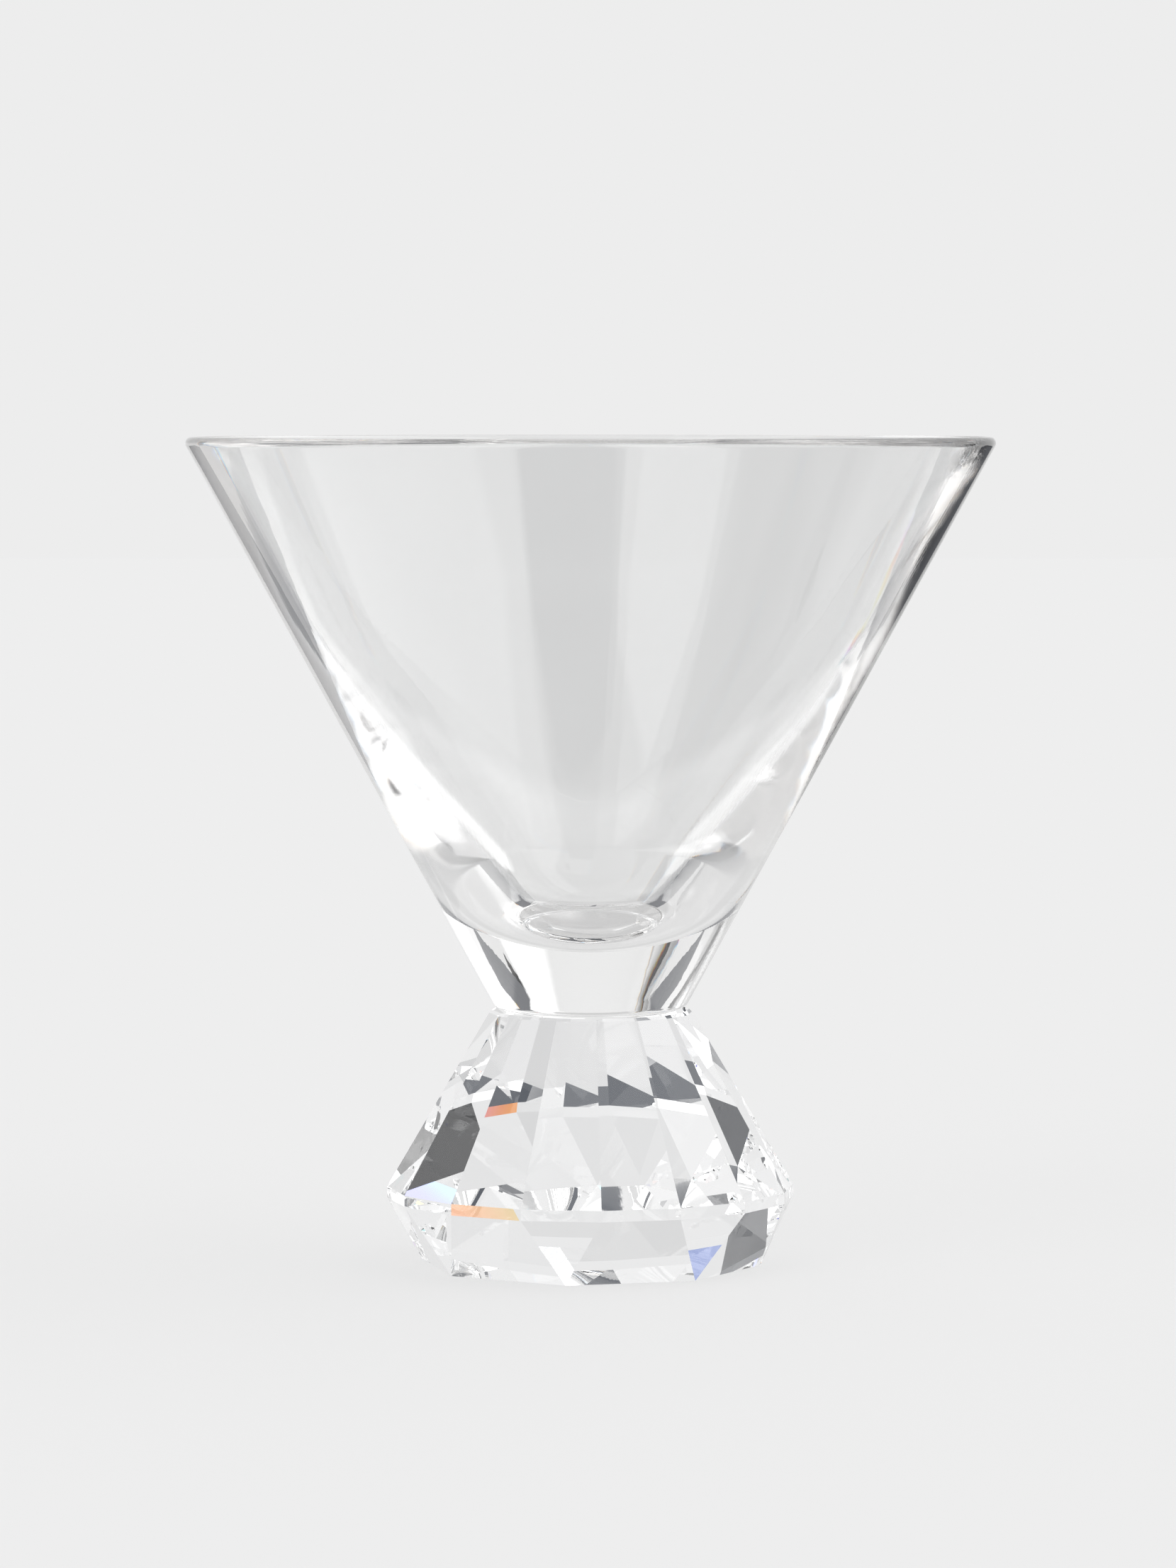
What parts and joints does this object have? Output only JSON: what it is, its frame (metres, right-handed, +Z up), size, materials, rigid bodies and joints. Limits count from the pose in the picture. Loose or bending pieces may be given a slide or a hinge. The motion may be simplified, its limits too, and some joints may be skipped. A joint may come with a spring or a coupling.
{
  "type": "martini glass",
  "caption": "Stemless martini glass: a clear conical bowl with a thick solid base, bonded on a faceted diamond-shaped crystal foot.",
  "frame": {"origin": "centre of the foot's flat underside, where the glass stands", "axes": "+Z up along the axis of the bowl and foot; -Y is the front, and a corner of the foot's girdle is turned 3 degrees from it towards +X"},
  "size_m": [0.115, 0.115, 0.118],
  "materials": {
    "foot_crystal": "colourless crystal, flat facets polished to a mirror finish, sharp edges",
    "clear_adhesive": "colourless cured adhesive, glossy where it shows",
    "bowl_glass": "colourless fire-polished soda-lime glass, smooth and glossy"
  },
  "bodies": {
    "root": {"foot": "foot_crystal", "bond": "clear_adhesive", "bowl": "bowl_glass"}
  },
  "joints": []
}
